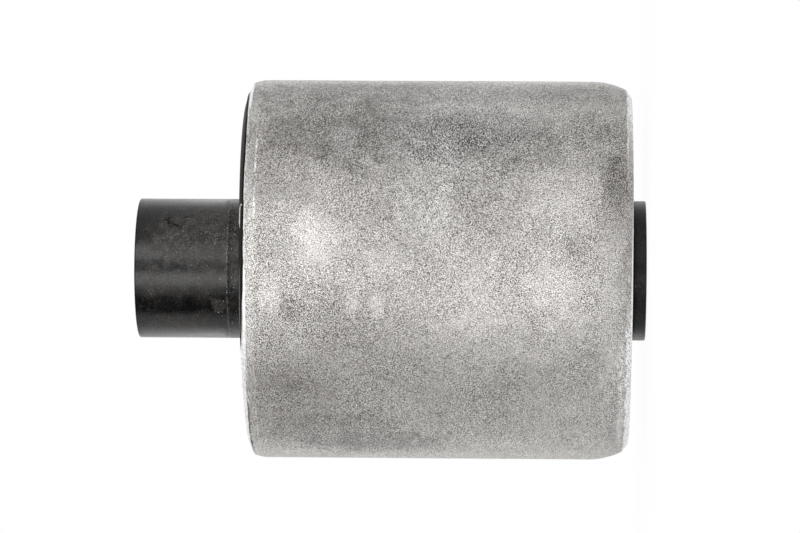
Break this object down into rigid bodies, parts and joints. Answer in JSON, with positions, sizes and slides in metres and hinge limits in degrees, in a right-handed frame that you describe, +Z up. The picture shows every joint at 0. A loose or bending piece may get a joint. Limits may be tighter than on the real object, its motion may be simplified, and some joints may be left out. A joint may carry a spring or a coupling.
{
  "type": "control arm bushing",
  "caption": "Bonded rubber bushing for a suspension control arm: bare steel outer sleeve with a rolled nose, moulded rubber body, and a black inner sleeve bored for the pivot bolt.",
  "frame": {"origin": "on the bore's axis, in the end face of the inner sleeve's short end, on which the part stands", "axes": "+Z up along the bore, from the nose to the rim and the long end of the inner sleeve; +X towards the side where the rubber's leaning face stands highest"},
  "size_m": [0.065, 0.065, 0.087],
  "materials": {
    "outer_steel": "bare drawn steel with a fine blasted grain, satin, with bright turned edges",
    "bonded_rubber": "smooth moulded black rubber with a slight sheen",
    "coated_steel": "thin satin black coating, smudged and specked beside the rubber"
  },
  "bodies": {
    "inner": {"inner_sleeve": "coated_steel"},
    "outer": {"outer_sleeve": "outer_steel", "rubber_body": "bonded_rubber"}
  },
  "joints": [
    {"name": "twist", "type": "hinge", "parent": "inner", "child": "outer", "pos_m": [0, 0, 0.0352], "axis": [0, 0, 1], "range_deg": [-20, 20], "stiffness_Nm_per_rad": 80}
  ]
}
